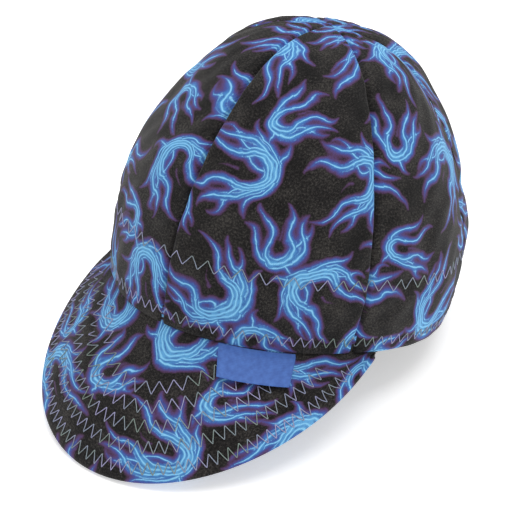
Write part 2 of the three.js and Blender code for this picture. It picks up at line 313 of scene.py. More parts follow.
def clump(tree, cloth, strokes, scale, pivot, shift, seed):
    """One layer of the print, a turned clump in each cell: the distance to it and the place across it."""
    moved = add(tree, "VectorMath", {0: cloth, 1: (shift, shift, 0)}, operation="ADD")
    cells = add(tree, "VectorMath", {0: moved, 3: 1 / PRINT_CELL}, operation="SCALE")
    cell = add(tree, "VectorMath", {0: cells}, operation="FLOOR")
    part = add(tree, "VectorMath", {0: cells, 1: cell}, operation="SUBTRACT")
    part = add(tree, "VectorMath", {0: part, 1: (0.5, 0.5, 0)}, operation="SUBTRACT")
    part = add(tree, "VectorMath", {0: part, 3: PRINT_CELL / scale}, operation="SCALE")
    toss = add(tree, "TexWhiteNoise", {0: cell, 1: seed}, noise_dimensions="4D")
    angle = add(tree, "Math", {0: toss, 1: 2 * math.pi}, operation="MULTIPLY")
    tint = add(tree, "SeparateColor", {0: toss.node.outputs["Color"]})
    side = add(tree, "Math", {0: tint, 1: 0.5}, operation="SUBTRACT")
    side = add(tree, "Math", {0: side}, operation="SIGN")
    part = add(tree, "VectorRotate", {0: part, "Angle": angle}, rotation_type="Z_AXIS")
    mirror = add(tree, "CombineXYZ", {0: 1.0, 1: side, 2: 0.0})
    part = add(tree, "VectorMath", {0: part, 1: mirror, 2: pivot}, operation="MULTIPLY_ADD")
    nearest, across = 99.0, 0.0
    for x, y, radius, start, sweep, width, end, spiral in strokes:
        hand, half = math.copysign(1, sweep), math.radians(abs(sweep)) / 2
        arm = add(tree, "VectorMath", {0: part, 1: (x, y, 0)}, operation="SUBTRACT")
        reach = add(tree, "VectorMath", {0: arm}, operation="LENGTH").node.outputs["Value"]
        ends = add(tree, "SeparateXYZ", {0: arm}).node.outputs
        turn = add(tree, "Math", {0: ends[1], 1: ends[0]}, operation="ARCTAN2")
        from_start = {0: turn, 1: hand, 2: -hand * math.radians(start)}
        turn = add(tree, "Math", from_start, operation="MULTIPLY_ADD")
        turn = add(tree, "Math", {0: turn, 1: half + math.pi, 2: half - math.pi}, operation="WRAP")
        run = add(tree, "Math", {0: turn, 1: 0.5 / half}, operation="MULTIPLY")
        held = add(tree, "Math", {0: turn, 1: 0.5 / half}, operation="MULTIPLY", use_clamp=True)
        ring = add(tree, "Math", {0: held, 1: spiral, 2: radius}, operation="MULTIPLY_ADD")
        off = add(tree, "Math", {0: reach, 1: ring}, operation="SUBTRACT")
        past = add(tree, "Math", {0: run, 1: held}, operation="SUBTRACT")
        past = add(tree, "Math", {0: past, 1: 2 * half * radius}, operation="MULTIPLY")
        past = add(tree, "Math", {0: past, 1: past}, operation="MULTIPLY")
        gap = add(tree, "Math", {0: off, 1: off, 2: past}, operation="MULTIPLY_ADD")
        gap = add(tree, "Math", {0: gap}, operation="SQRT")
        thin = add(tree, "Math", {0: held, 1: held}, operation="MULTIPLY")
        thin = add(tree, "Math", {0: thin, 1: end - width, 2: width}, operation="MULTIPLY_ADD")
        gap = add(tree, "Math", {0: gap, 1: thin}, operation="SUBTRACT")
        closer = add(tree, "Math", {0: gap, 1: nearest}, operation="LESS_THAN")
        across = add(tree, "Mix", {0: closer, 2: across, 3: off})
        nearest = add(tree, "Math", {0: gap, 1: nearest, 2: LICK_BLEND}, operation="SMOOTH_MIN")
    nearest = add(tree, "Math", {0: nearest, 1: scale}, operation="MULTIPLY")
    return nearest, across


# Printed cotton twill, dyed black and printed with blue flames. It is matt, the twill's fine ribs catch
# a little light, and the ink lies in the cloth, so it shines no more than the ground.
WEAVE_PITCH = 0.9  # the real ribs are some 0.5 mm apart, too fine to show
WEAVE_RELIEF = 0.00012  # metres
DRIFT, WANDER = 12, 2.6  # how far the clumps are pulled out of true
FLAME_HEART, FLAME_END = -2.95, 2.75  # distances from a stroke's edge where the colours start and end
LINE_PITCH = 1.7  # pale lines that run along the flames


def threads(tree, place, pitch):
    """Round threads side by side, at a pitch in millimetres."""
    turn = add(tree, "Math", {0: place, 1: 2 * math.pi / pitch}, operation="MULTIPLY")
    return add(tree, "Math", {0: turn}, operation="SINE")


def cotton_surface(tree, cloth, colour, rough, sheen):
    """Twill ribs and loose fibres as a bump, with the shader that they go to."""
    ends = add(tree, "SeparateXYZ", {0: cloth}).node.outputs
    slant = add(tree, "Math", {0: ends[0], 1: ends[1]}, operation="ADD")
    rib, yarn = threads(tree, slant, WEAVE_PITCH), threads(tree, ends[0], WEAVE_PITCH)
    weave = add(tree, "Math", {0: rib, 1: yarn}, operation="ADD")
    fuzz = add(tree, "TexNoise", {"Vector": cloth, "Scale": 0.9, "Detail": 3.0})
    relief = add(tree, "Math", {0: fuzz, 1: 3.0, 2: weave}, operation="MULTIPLY_ADD")
    bump = add(tree, "Bump", {"Height": relief, "Strength": 0.35, "Distance": WEAVE_RELIEF})
    shader = add(tree, "BsdfPrincipled", {
        "Base Color": colour, "Roughness": rough, "Specular IOR Level": 0.18, "Sheen Weight": sheen,
        "Sheen Roughness": 0.5, "Normal": bump})
    add(tree, "OutputMaterial", {"Surface": shader})


printed_cotton, tree = new_finish("printed_cotton_twill")
flat_cloth = add(tree, "UVMap", uv_map="cloth")

# A slow drift and a quicker wander pull the clumps out of true, so that no two are alike.
drift = add(tree, "TexNoise", {"Vector": flat_cloth, "Scale": 0.035, "Detail": 0.0}).node.outputs["Color"]
drift = add(tree, "VectorMath", {0: drift, 1: (0.5, 0.5, 0.5)}, operation="SUBTRACT")
wander = add(tree, "TexNoise", {"Vector": flat_cloth, "Scale": 0.14, "Detail": 1.0}).node.outputs["Color"]
wander = add(tree, "VectorMath", {0: wander, 1: (0.5, 0.5, 0.5)}, operation="SUBTRACT")
bent = add(tree, "VectorMath", {0: drift, 1: (DRIFT, DRIFT, 0), 2: flat_cloth}, operation="MULTIPLY_ADD")
bent = add(tree, "VectorMath", {0: wander, 1: (WANDER, WANDER, 0), 2: bent}, operation="MULTIPLY_ADD")
large, large_across = clump(
    tree, bent, LARGE_CLUMP, scale=1.04, pivot=(8.0, 0.0, 0), shift=0.0, seed=1.0)
small, small_across = clump(
    tree, bent, SMALL_CLUMP, scale=1.12, pivot=(6.0, 0.5, 0), shift=PRINT_CELL / 2, seed=7.0)
which = add(tree, "Math", {0: small, 1: large}, operation="LESS_THAN")
across = add(tree, "Mix", {0: which, 2: large_across, 3: small_across})
flame = add(tree, "Math", {0: large, 1: small, 2: 1.0}, operation="SMOOTH_MIN")

# The ink's edge frays into the yarns, 1 mm or so, and its colour follows the distance to the stroke.
fray = add(tree, "TexNoise", {"Vector": flat_cloth, "Scale": 1.1, "Detail": 2.0})
flame = add(tree, "Math", {0: fray, 1: 1.2, 2: flame}, operation="MULTIPLY_ADD")
place = add(tree, "MapRange", {0: flame, 1: FLAME_HEART, 2: FLAME_END})

# The black dye is mottled yarn by yarn, about 1 mm apart, and worn paler in patches of some 15 mm.
ground = add(tree, "TexNoise", {"Vector": flat_cloth, "Scale": 0.95, "Detail": 3.0, "Roughness": 0.75})
worn = add(tree, "TexNoise", {"Vector": flat_cloth, "Scale": 0.06, "Detail": 3.0})
ground = add(tree, "Math", {0: worn, 1: 0.5, 2: ground}, operation="MULTIPLY_ADD")
dyed = ramp(tree, ground, (0.55, "#050505"), (0.74, "#1d1b1b"), (0.95, "#44413e"))

# Sky blue at the heart, through blue and violet to the ground.
inked = ramp(
    tree, place, (0.0, "#62a6da"), (0.20, "#5597ce"), (0.34, "#4780c0"), (0.44, "#4268ae"),
    (0.52, "#44559a"), (0.59, "#4e4886"), (0.67, "#55416f"), (0.75, "#4d3555"), (0.82, "#372837"),
    (0.88, "#262023"), (1.0, "#1e1c1c"))
ink_on = add(tree, "MapRange", {0: place, 1: 0.92, 2: 0.8})

# Pale lines along the strokes, with a deeper blue between them here and there.
tongue = add(tree, "TexNoise", {"Vector": flat_cloth, "Scale": 0.2, "Detail": 1.0})
streak = add(tree, "Math", {0: tongue, 1: 4.0, 2: -2.0}, operation="MULTIPLY_ADD")
streak = add(tree, "Math", {0: across, 1: 2 * math.pi / LINE_PITCH, 2: streak}, operation="MULTIPLY_ADD")
streak = add(tree, "Math", {0: streak}, operation="COSINE")
deep = add(tree, "MapRange", {0: place, 1: 0.5, 2: 0.34})
line = add(tree, "MapRange", {0: streak, 1: 0.1, 2: 0.95, 4: 0.95})
line = add(tree, "Math", {0: line, 1: deep}, operation="MULTIPLY")
inked = add(tree, "Mix", {0: line, 6: inked, 7: linear("#8dcff4")}, data_type="RGBA").node.outputs[2]
gap = add(tree, "MapRange", {0: streak, 1: -0.35, 2: -1.0, 4: 1.0})
patch = add(tree, "TexNoise", {"Vector": flat_cloth, "Scale": 0.32, "Detail": 1.0})
patch = add(tree, "MapRange", {0: patch, 1: 0.42, 2: 0.62, 4: 0.75})
gap = add(tree, "Math", {0: gap, 1: patch}, operation="MULTIPLY")
gap = add(tree, "Math", {0: gap, 1: deep}, operation="MULTIPLY")
inked = add(tree, "Mix", {0: gap, 6: inked, 7: linear("#34589a")}, data_type="RGBA").node.outputs[2]
colour = add(tree, "Mix", {0: ink_on, 6: dyed, 7: inked}, data_type="RGBA").node.outputs[2]
cotton_surface(tree, flat_cloth, colour, rough=0.9, sheen=0.11)

# The back of the same cloth, unprinted: the dye is duller there and the fibres stand up more.
cotton_reverse, tree = new_finish("cotton_twill_reverse")
flat_cloth = add(tree, "UVMap", uv_map="cloth")
ground = add(tree, "TexNoise", {"Vector": flat_cloth, "Scale": 0.5, "Detail": 4.0})
dyed = ramp(tree, ground, (0.3, "#25252a"), (0.7, "#38383e"))
cotton_surface(tree, flat_cloth, dyed, rough=0.95, sheen=0.25)


def cloth_piece(name, face, flat, columns, rows, thickness, finishes, thin=None):
    """A sheet of cloth. A grid takes the places that face gives it, and Solidify gives it its thickness.

    face(i, j) gives places in metres and flat(i, j) places on the flat cloth in millimetres, for
    columns i and rows j. thin(i, j) is the share of the thickness that is left.
    """
    bpy.ops.object.select_all(action="DESELECT")
    bpy.ops.mesh.primitive_grid_add(x_subdivisions=columns, y_subdivisions=rows, size=2, calc_uvs=True)
    piece = bpy.context.object
    piece.name = piece.data.name = name
    mesh = piece.data
    grid = np.empty(len(mesh.vertices) * 3)
    mesh.vertices.foreach_get("co", grid)
    i, j = np.rint((grid.reshape(-1, 3)[:, :2].T + 1) / 2 * np.array([[columns], [rows]])).astype(int)
    mesh.vertices.foreach_set("co", face(i, j).ravel())
    mesh.uv_layers[0].name = "cloth"
    corners = np.empty(len(mesh.loops), int)
    mesh.loops.foreach_get("vertex_index", corners)
    mesh.uv_layers[0].uv.foreach_set("vector", flat(i, j)[corners].ravel())
    wall = piece.modifiers.new("thickness", "SOLIDIFY")
    wall.thickness, wall.offset = thickness / 1000, -1
    for finish in finishes:
        mesh.materials.append(finish)
    wall.material_offset, wall.material_offset_rim = len(finishes) - 1, 0
    if thin is not None:
        group = piece.vertex_groups.new(name="left")
        for number, weight in enumerate(thin(i, j)):
            group.add([number], float(weight), "REPLACE")
        wall.vertex_group = "left"
    mesh.update()
    bpy.ops.object.modifier_apply(modifier="thickness")
    bpy.ops.object.shade_smooth_by_angle(angle=math.radians(50))
    for vertex in mesh.vertices:
        vertex.co.z = max(vertex.co.z, FLOOR_TOUCH / 1000)
    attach(piece, "root")
    return piece


GORE_RADIUS, GORE_LENGTH = 0.0945, 0.178  # metres: the rim that the gores are cut for, and their length
PRINT_STEP = (137, 61)  # each gore is cut from another place of the printed cloth
POINT_GAP = 0.73  # where a gore's point ends, from the top's middle
SLIT_EASE = 0.97  # the slit is reckoned on a radius a little short, so that it never closes

# Columns stand closer at the seams, and rows at the rim, where the cloth turns.
near_seam = np.array([0, 0.004, 0.008, 0.013, 0.019, 0.027, 0.038, 0.053])
gore_across = np.concatenate([near_seam, np.linspace(0.072, 0.928, 43), 1 - near_seam[::-1]])
first_level = levels[1, 0]
near_rim = np.array([0, 0.3, 0.7, 1.2, 1.9, 2.8]) / first_level / steps
top_share = 1 - POINT_GAP / (levels[-2, 2] * HEAD_WIDTH / 2) / steps
gore_up = np.concatenate([near_rim, np.linspace(3.9 / first_level / steps, top_share, 124)])
up_lengths = np.concatenate([[0], np.cumsum(np.linalg.norm(
    np.diff(smooth_crown(np.full(200, 30.0), np.linspace(0, 1, 200)), axis=0), axis=1))])

for number, (name, seam) in enumerate(GORES.items()):
    wide_turn = seams[number + 1] - seam

    def gore_turn(i, j):
        level = level_at(gore_up[j])
        radius = np.minimum(level[..., 2] * HEAD_WIDTH, level[..., 1] * HEAD_LENGTH) / 2 * SLIT_EASE
        trim = np.degrees(np.arcsin(SEWN_GAP / 2 / radius))
        return seam + trim + (wide_turn - 2 * trim) * gore_across[i]

    def gore_face(i, j):
        return stand(outer_face(gore_turn(i, j), gore_up[j]))

    def gore_flat(i, j):
        level = level_at(gore_up[j])
        width = np.radians(wide_turn) * mean_radius(level)
        up = np.interp(gore_up[j], np.linspace(0, 1, 200), up_lengths)
        x = (gore_across[i] - 0.5) * width + PRINT_STEP[0] * number
        return np.stack([x, up + PRINT_STEP[1] * number], -1)

    gore = cloth_piece(
        name + "_cloth", gore_face, gore_flat, len(gore_across) - 1, len(gore_up) - 1, CLOTH,
        [printed_cotton, cotton_reverse])
    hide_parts(name)

# The seam allowances. Inside the crown each seam's two raw edges are pressed open into a flat double
# strip of the cloth's back, from the hem band up to where the six seams meet.

FLAP_HALF, FLAP_DEEP, FLAP_LENGTH = 6.5, 0.9, 0.143
FLAP_CLEAR = 0.15  # the room between a strip and the gores
FLAP_NARROWS = 0.4  # half its width near the top, as a share of the crown's radius there
FLAP_DIP, FLAP_CURL = 0.5, 0.15  # how far its middle follows the seam, and its edges wave
flap_across = np.linspace(-1, 1, 13)
flap_up = np.linspace(share_at_height(HEM_HEIGHT - 1.5), 1 - 0.7 / steps, 90)
flaps = []
for seam in GORES.values():
    def flap_face(i, j):
        level = level_at(flap_up[j])
        radius = mean_radius(level)
        half = np.minimum(FLAP_HALF, radius * FLAP_NARROWS)
        turn = seam + np.degrees(flap_across[::-1][i] * half / radius)
        off_seam = np.abs(flap_across[::-1][i]) * half
        curl = np.sin(flap_up[j] * 60 + seam) * (off_seam / FLAP_HALF) ** 2
        dip = FLAP_DIP * bell(off_seam, 1.0) + FLAP_CURL * curl
        depth = CLOTH + FLAP_DEEP + FLAP_CLEAR + SEAM_ROLL * bell(off_seam, 2) - dip
        return stand(crown_point(turn, flap_up[j], depth))

    def flap_flat(i, j):
        return np.stack([flap_across[i] * FLAP_HALF, flap_up[j] * GORE_LENGTH * 1000], -1)

    flaps.append(cloth_piece(
        "seam_flaps", flap_face, flap_flat, len(flap_across) - 1, len(flap_up) - 1, FLAP_DEEP,
        [cotton_reverse]))
bpy.ops.object.select_all(action="DESELECT")
for flap in flaps:
    flap.select_set(True)
bpy.context.view_layer.objects.active = flaps[0]
bpy.ops.object.join()

# The hem band. A strip of the plain cotton goes round inside the rim, where it doubles the hem. The
# zigzag rows sew it to the gores, and it stands further in where it also holds the peak's root.

BAND_HEIGHT, BAND_RADIUS, BAND_CLEAR, BAND_EASE = 37, 91, 3, 12
BAND_PUFF = 0.35
PEAK_PLY, ROOT_TURN = 1.2, 74
stack = 2 * PEAK_PLY + SEAM_GAP
band_turns = np.linspace(0, 360, 301)
band_up = share_at_height(np.concatenate([[0, 0.4, 1.0, 2.0], np.linspace(3.2, BAND_HEIGHT - 0.3, 24)]))


def hem_depth(turn):
    """How deep the band lies, from the crown's outer face."""
    beyond = np.clip((np.abs(turn_between(turn, 0)) - ROOT_TURN - BAND_CLEAR) / BAND_EASE, 0, 1)
    return CLOTH + SEAM_GAP + (stack + SEAM_GAP) * (1 - beyond**2 * (3 - 2 * beyond))


def band_inner(turn, share):
    """The band's face that shows inside the hollow, puffed a little between the rows."""
    height = level_at(share)[..., 0]
    held = bell(height - LOWER_ROW[0], 3) + bell(height - UPPER_ROW[0], 3)
    puff = BAND_PUFF * (1 - held) * bell(height - BAND_HEIGHT / 2, BAND_HEIGHT / 2)
    return crown_point(turn, share, hem_depth(turn) + CLOTH + puff)


def band_face(i, j):
    return stand(band_inner(band_turns[::-1][i], band_up[j]))


def band_flat(i, j):
    return np.stack([np.radians(band_turns[i]) * BAND_RADIUS, level_at(band_up[j])[..., 0]], -1)


# Plain cotton of the band: the same black yarn without print, soft and matt, with rubbed, paler high
# spots where it touches the head.
band_cotton, tree = new_finish("plain_black_cotton")
flat_cloth = add(tree, "UVMap", uv_map="cloth")
ground = add(tree, "TexNoise", {"Vector": flat_cloth, "Scale": 0.25, "Detail": 5.0})
dyed = ramp(tree, ground, (0.3, "#222226"), (0.7, "#35353a"))
cotton_surface(tree, flat_cloth, dyed, rough=0.92, sheen=0.2)

band = cloth_piece(
    "hem_band_cloth", band_face, band_flat, len(band_turns) - 1, len(band_up) - 1, CLOTH, [band_cotton])
bpy.ops.object.mode_set(mode="EDIT")
bpy.ops.mesh.select_all(action="SELECT")
bpy.ops.mesh.remove_doubles(threshold=0.00001)
bpy.ops.object.mode_set(mode="OBJECT")
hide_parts("hem_band")

# The peak. Two plies of the printed cotton with a soft filling are sewn along the outer edge, turned
# out, and quilted with zigzag rows that follow that edge. Its root is caught between rim and band.

PEAK_WIDTH, PEAK_REACH, PEAK_DROP, PEAK_CORNER, PEAK_TUCK = 173, 38.5, 65, 8, 5
CORNER_BEND, CORNER_FOLLOW, ROOT_DROP, PEAK_FLANGE, PEAK_CROWN, PEAK_ROUND = 9, 0.8, 1.06, 9, 3.2, 0.94
PEAK_SLACK = (3.0, -1.0)  # how far the limp peak's front hangs to one side, and forward
PRINT_HALF, PRINT_PLACE = 112, (415, 27)  # print over half the peak's width, and where it is cut from
# Soft folds and finer creases: place across and out, reach of each, and how far up, as shares.
PEAK_FOLDS = [(-0.12, 0.22, 0.22, 0.2, -0.05), (0.45, 0.4, 0.25, 0.3, 0.03)]
PEAK_CREASES = [
    (-0.3, 0.3, 0.1, 0.08, -0.06), (-0.2, 0.12, 0.14, 0.05, 0.035), (0.12, 0.3, 0.2, 0.06, -0.035)]
flange_depth = CLOTH + SEAM_GAP + stack / 2
flange_share = share_at_height(PEAK_FLANGE)
corner_y = float(oval_at(ROOT_TURN)[1]) * HEAD_LENGTH / 2 - PEAK_CORNER
tip_y = -HEAD_LENGTH / 2 - PEAK_REACH


def peak_edge(across):
    """The peak's outer edge, at a share of its half width from -1 to 1."""
    angle = across * np.pi / 2
    forward = np.maximum(np.cos(angle), 0)
    corner = np.abs(across) ** CORNER_BEND
    turn = across * ROOT_TURN
    zero = np.zeros_like(across)
    edge = (crown_point(turn, zero, 0) - smooth_crown(turn, zero)) * (CORNER_FOLLOW * corner)[..., None]
    edge[..., 0] += np.sin(angle) * PEAK_WIDTH / 2 - PEAK_TUCK * np.sign(across) * corner
    edge[..., 1] += corner_y + (tip_y - corner_y) * forward**PEAK_ROUND
    edge[..., 2] += -PEAK_DROP * forward - stack / 2 - SEAM_GAP
    edge[..., :2] += np.array(PEAK_SLACK) * np.sqrt(forward)[..., None]
    return edge


def peak_root(across):
    """Where the peak leaves the rim."""
    rim = crown_point(across * ROOT_TURN, np.zeros_like(across), flange_depth)
    run = peak_edge(across) - rim
    run /= np.linalg.norm(run, axis=-1, keepdims=True)
    rim[..., 2] -= (stack / 2 + SEAM_GAP) * (ROOT_DROP - run[..., 2] ** 2)
    return rim


def peak_middle(across, run):
    """Midway between the plies. run is -1 at the flange's top, 0 at the rim and 1 at the edge."""
    root, edge = peak_root(across), peak_edge(across)
    turn, up = across * ROOT_TURN, flange_share * np.clip(-run, 0, 1)
    rim = crown_point(turn, np.zeros_like(across), flange_depth)
    flange = crown_point(turn, up, flange_depth) + (root - rim) * (1 + np.minimum(run, 0))[..., None]
    return np.where((run < 0)[..., None], flange, root + (edge - root) * run[..., None])


edge_line = peak_edge(np.linspace(-1, 1, 241))


def off_edge(across, run):
    """How far a point of the peak is from the outer edge, in millimetres."""
    places = peak_middle(across, run).reshape(-1, 3)
    blocks = np.array_split(places, len(places) // 2000 + 1)
    gaps = [np.linalg.norm(block[:, None] - edge_line, axis=2).min(1) for block in blocks]
    return np.concatenate(gaps).reshape(np.shape(across))


# The quilting rows: how far each lies from the outer edge, how wide it is, its pitch, and the share
# of the half width that it reaches.
QUILT_ROWS = [
    (6.5, 6.2, 5.0, 0.985), (16.5, 6.4, 5.4, 0.95), (26.5, 6.6, 5.8, 0.9), (36, 6.8, 6.4, 0.84),
    (45.5, 6.8, 7.0, 0.74)]
QUILT_SINK = 0.5  # how deep a row draws the cloth in


def peak_swell(across, run, off, quilted):
    """How far the peak's filling and folds lift its cloth, and how far the quilting sinks it."""
    arch = PEAK_CROWN * 4 * run * (1 - run) * np.cos(across * np.pi / 2)
    for place, at, spread, long, out in PEAK_FOLDS + (PEAK_CREASES if quilted else []):
        there = bell(across - place, spread) * bell(run - at, long)
        arch = arch + out * PEAK_REACH * np.sin(np.pi * run) * there
    if quilted:
        for distance, width, _, _ in QUILT_ROWS:
            arch = arch - QUILT_SINK * bell(off - distance, width * 0.42)
        arch = arch + 0.15 * np.sin(across * 62) * bell(off - 11, 6)
        arch = arch + 0.12 * np.sin(across * 47 + 1) * bell(off - 31, 7)
    return np.where(run > 0, arch, 0)


def peak_up(across, run):
    """The way up from the peak's middle."""
    side = np.clip(across, -0.999, 0.999)
    return -face_normal(peak_middle, side, run, 1e-3, 0.02)


def peak_point(across, run, rise, quilted=False):
    """A point of the peak, at a height above the middle of its plies."""
    off = off_edge(across, run) if quilted else np.zeros_like(run)
    lift = np.asarray(rise + peak_swell(across, run, off, quilted))
    return peak_middle(across, run) + peak_up(across, run) * lift[..., None]


# The plies' edges curve together over EDGE_TURN, like any seam that is sewn and turned out. Columns
# stand closer at the peak's two corners, by CORNER_CROWD, and rows at its outer edge.
EDGE_TURN, CORNER_CROWD = 2.2, 1.45
peak_across = np.sin(np.linspace(-1, 1, 129) * CORNER_CROWD) / math.sin(CORNER_CROWD)
peak_run = np.concatenate([[-1, -0.5, 0], np.linspace(0, 1, 56)[1:] ** 0.9])
peak_run = np.sort(np.concatenate([peak_run, [0.985, 0.992, 0.997]]))
peak_lengths = np.linalg.norm(peak_edge(peak_across) - peak_root(peak_across), axis=1)
ply_half = stack / 2


def ply_rise(across, run):
    """Height of a ply's face over the middle, which falls to nothing at the outer edge."""
    length = np.interp(across, peak_across, peak_lengths)
    near = np.clip((1 - run) * length / EDGE_TURN, 0, 1)
    return ply_half * np.sqrt(np.clip(1 - (1 - near) ** 2, 0.0016, 1))


def upper_face(i, j):
    across, run = peak_across[::-1][i], peak_run[j]
    return stand(peak_point(across, run, ply_rise(across, run), True))


def under_face(i, j):
    across, run = peak_across[i], peak_run[j]
    return stand(peak_point(across, run, -ply_rise(across, run), False))


def ply_left(across, run):
    """The share of a ply's thickness that is left, which thins to nothing at the outer edge."""
    length = np.interp(across, peak_across, peak_lengths)
    near = np.clip((1 - run) * length / (1.5 * EDGE_TURN), 0, 1)
    return 0.03 + 0.97 * near


def ply_flat(across, run):
    length = np.interp(across, peak_across, peak_lengths)
    return np.stack([across * PRINT_HALF + PRINT_PLACE[0], -run * length + PRINT_PLACE[1]], -1)


for ply, face, order in (("peak_upper", upper_face, -1), ("peak_under", under_face, 1)):
    piece = cloth_piece(
        ply + "_cloth", face, lambda i, j: ply_flat(peak_across[::order][i], peak_run[j]),
        len(peak_across) - 1, len(peak_run) - 1, PEAK_PLY, [printed_cotton],
        lambda i, j: ply_left(peak_across[::order][i], peak_run[j]))
    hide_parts(ply)

# The stitches. A slack polyester thread in pale grey, green and lavender runs in zigzag rows round the
# hem and over the peak. Each stitch comes up through one hole, lies on the cloth and goes down again.

THREAD, STITCHED_RADIUS = 0.23, 93  # radii of the thread and of the rows round the hem
INSIDE_LOWER = 3.4  # the upper row comes through the band this much lower
# Along a stitch from hole to hole, and its height over the cloth there.
STITCH_RINGS = [(0, -0.35), (0.05, 0.02), (0.16, 0.2), (0.5, 0.27), (0.84, 0.2), (0.95, 0.02), (1, -0.35)]

bpy.ops.object.select_all(action="DESELECT")
bpy.ops.mesh.primitive_circle_add(vertices=6, radius=THREAD, fill_type="NGON", location=(0, 0, 0),
                                  rotation=(0, math.pi / 2, 0))
stitch = bpy.context.object
bpy.ops.object.transform_apply(rotation=True)
bpy.ops.object.mode_set(mode="EDIT")
bpy.ops.mesh.select_all(action="SELECT")
for _ in STITCH_RINGS[1:]:
    bpy.ops.mesh.extrude_region_move(TRANSFORM_OT_translate={"value": (1, 0, 0)})
bpy.ops.mesh.select_all(action="SELECT")
bpy.ops.mesh.normals_make_consistent(inside=False)
bpy.ops.object.mode_set(mode="OBJECT")
stitch_places = np.array([vertex.co for vertex in stitch.data.vertices])
# Extruding leaves the faces in any order, so they are sorted to be alike in every run.
stitch_faces = sorted(list(polygon.vertices) for polygon in stitch.data.polygons)
bpy.data.objects.remove(stitch)


def stitched(starts, ends, place, normal):
    """Copies of the stitch, one from each start to its end, in the places of a surface."""
    ring = np.rint(stitch_places[:, 0]).astype(int)
    along, lift = np.array(STITCH_RINGS)[ring].T
    a = starts[:, 0, None] + (ends[:, 0] - starts[:, 0])[:, None] * along
    b = starts[:, 1, None] + (ends[:, 1] - starts[:, 1])[:, None] * along
    up = normal(a, b)
    run = (place(ends[:, 0], ends[:, 1]) - place(starts[:, 0], starts[:, 1]))[:, None, :]
    side = np.cross(up, np.broadcast_to(run, up.shape))
    side /= np.linalg.norm(side, axis=-1, keepdims=True)
    up = up * (lift + stitch_places[:, 2])[None, :, None]
    return place(a, b) + up + side * stitch_places[None, :, 1, None]


def row_piece(name, rows):
    """One piece of all the stitches of some rows, each copied from the one stitch."""
    places = np.concatenate(rows).reshape(-1, 3)
    copies = len(places) // len(stitch_places)
    faces = [[v + n * len(stitch_places) for v in face] for n in range(copies) for face in stitch_faces]
    mesh = bpy.data.meshes.new(name)
    mesh.from_pydata(stand(places).tolist(), [], faces)
    piece = bpy.data.objects.new(name, mesh)
    bpy.context.collection.objects.link(piece)
    mesh.materials.append(thread_finish)
    mesh.shade_smooth()
    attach(piece, "root")
    return piece


def hem_row(middle, width, pitch, place, normal):
    """The stitches of a zigzag row round the hem, on a face that takes a turn and a share."""
    legs = 2 * round(2 * math.pi * STITCHED_RADIUS / pitch)
    low, high = share_at_height(middle - width / 2), share_at_height(middle + width / 2)
    share = (low + high) / 2 + (high - low) / 2 * np.where(np.arange(legs + 1) % 2, 1, -1)
    holes = np.stack([np.linspace(0, 360, legs + 1), share], -1)
    return stitched(holes[:-1], holes[1:], place, normal)


# Polyester sewing thread: smooth and faintly shiny, with a twist every 0.35 mm. Its tint drifts from
# grey-green to lavender every 15 mm or so.
thread_finish, tree = new_finish("polyester_thread")
where = add(tree, "TexCoord").node.outputs["Object"]
shift = add(tree, "TexNoise", {"Vector": where, "Scale": 60.0, "Detail": 2.0})
tint = ramp(tree, shift, (0.36, "#82918a"), (0.5, "#929ab0"), (0.64, "#a4a0c6"))
twist = add(tree, "TexWave", {"Vector": where, "Scale": 900.0, "Distortion": 2.0})
bump = add(tree, "Bump", {"Height": twist, "Strength": 0.3, "Distance": 0.0001})
shader = add(tree, "BsdfPrincipled", {"Base Color": tint, "Roughness": 0.55, "Normal": bump})
add(tree, "OutputMaterial", {"Surface": shader})

row_piece("hem_stitches", [
    hem_row(*row, outer_face, outer_normal) for row in (UPPER_ROW, LOWER_ROW)])
upper_inside = (UPPER_ROW[0] - INSIDE_LOWER, *UPPER_ROW[1:])
row_piece("hem_stitches_inside", [
    hem_row(*row, band_inner, lambda a, b: -outer_normal(a, b)) for row in (upper_inside, LOWER_ROW)])

# Places over the peak and how far each is from its outer edge, where the quilting rows are looked up.
quilt_across = np.linspace(-0.985, 0.985, 601)
quilt_runs = np.linspace(0.02, 1, 120)
quilt_off = off_edge(*np.meshgrid(quilt_across, quilt_runs, indexing="ij"))


def offset_line(distance):
    """The runs at which the peak is a distance from its outer edge, for each place across it."""
    return np.array([
        np.interp(-distance, -row, quilt_runs) if row[0] > distance else np.nan for row in quilt_off])


def quilt_row(distance, width, pitch, reach):
    """Starts and ends of a quilting row's stitches, square to the row on either side of it."""
    sides = [offset_line(distance + half) for half in (-width / 2, width / 2)]
    fits = ~np.isnan(sides[1]) & (np.abs(quilt_across) <= reach)
    across = quilt_across[fits]
    middle = peak_middle(across, offset_line(distance)[fits])
    length = np.concatenate([[0], np.cumsum(np.linalg.norm(np.diff(middle, axis=0), axis=1))])
    legs = int(length[-1] / pitch * 2)
    at = np.linspace(0, length[-1], legs + 1)
    centres = np.stack([np.interp(at, length, middle[:, n]) for n in range(3)], -1)
    holes = np.empty((legs + 1, 2))
    for parity, side in enumerate(sides):
        there = ~np.isnan(side)
        line = peak_middle(quilt_across[there], side[there])
        nearest = np.linalg.norm(centres[parity::2, None] - line, axis=2).argmin(1)
        holes[parity::2] = np.stack([quilt_across[there][nearest], side[there][nearest]], -1)
    return holes[:-1], holes[1:]


quilt = [quilt_row(*row) for row in QUILT_ROWS]
row_piece("peak_stitches", [
    stitched(starts, ends, lambda a, b: peak_point(a, b, ply_rise(a, b), True), peak_up)
    for starts, ends in quilt])
row_piece("peak_stitches_under", [
    stitched(starts, ends, lambda a, b: peak_point(a, b, -ply_rise(a, b)), lambda a, b: -peak_up(a, b))
    for starts, ends in quilt])

# The label. A short tab of woven blue satin ribbon, left bare, is caught in the rim's seam with its
# two ends folded under, and lies down the peak with its lower edge a little proud.

